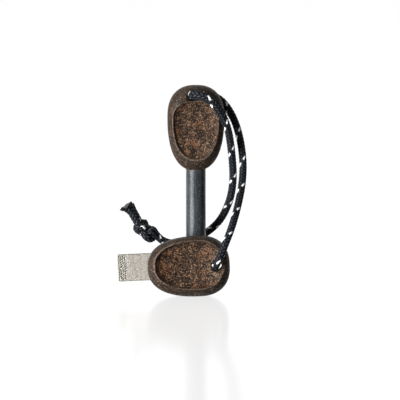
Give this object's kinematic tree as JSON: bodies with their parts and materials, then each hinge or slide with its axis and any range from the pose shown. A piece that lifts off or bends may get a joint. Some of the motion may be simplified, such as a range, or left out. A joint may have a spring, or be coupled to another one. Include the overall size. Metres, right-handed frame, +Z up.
{
  "type": "camping firesteel",
  "caption": "Upright ferrocerium rod and steel striker blade, each in an egg-shaped dished handle, joined by a knotted loop of braided cord.",
  "frame": {"origin": "centre of the rod's flat foot, which stands on the floor", "axes": "+Z up along the rod; +X towards the striker's cord hole; -Y is the front, where the striker stands"},
  "size_m": [0.0619, 0.0455, 0.0993],
  "materials": {
    "grip_composite": "matt, brown wood-fibre composite",
    "ferrocerium": "matt, dark grey bar",
    "blade_steel": "brushed and stamped",
    "cord_sheath": "braided, with pale tracer yarns",
    "cord_core": "frayed yarn"
  },
  "bodies": {
    "rod_unit": {"rod_handle": "grip_composite", "ferro_rod": "ferrocerium"},
    "lanyard": {"lanyard_inner_strand": "cord_sheath", "lanyard_outer_strand": "cord_sheath", "lanyard_knot": "cord_sheath", "lanyard_tail_1": "cord_sheath", "lanyard_tail_2": "cord_sheath", "lanyard_core_1": "cord_core", "lanyard_core_2": "cord_core"},
    "striker_unit": {"striker_handle": "grip_composite", "striker_blade": "blade_steel"}
  },
  "joints": [
    {"name": "strike_stroke", "type": "slide", "parent": "rod_unit", "child": "lanyard", "axis": [0, 0, 1], "range_m": [0, 0.03], "deforming": ["lanyard_inner_strand", "lanyard_outer_strand", "lanyard_knot", "lanyard_tail_1", "lanyard_tail_2", "lanyard_core_1", "lanyard_core_2"]},
    {"name": "striker_swing", "type": "hinge", "parent": "lanyard", "child": "striker_unit", "pos_m": [0.0098, -0.0164, 0.0147], "axis": [0, 1, 0], "range_deg": [0, 50]}
  ]
}
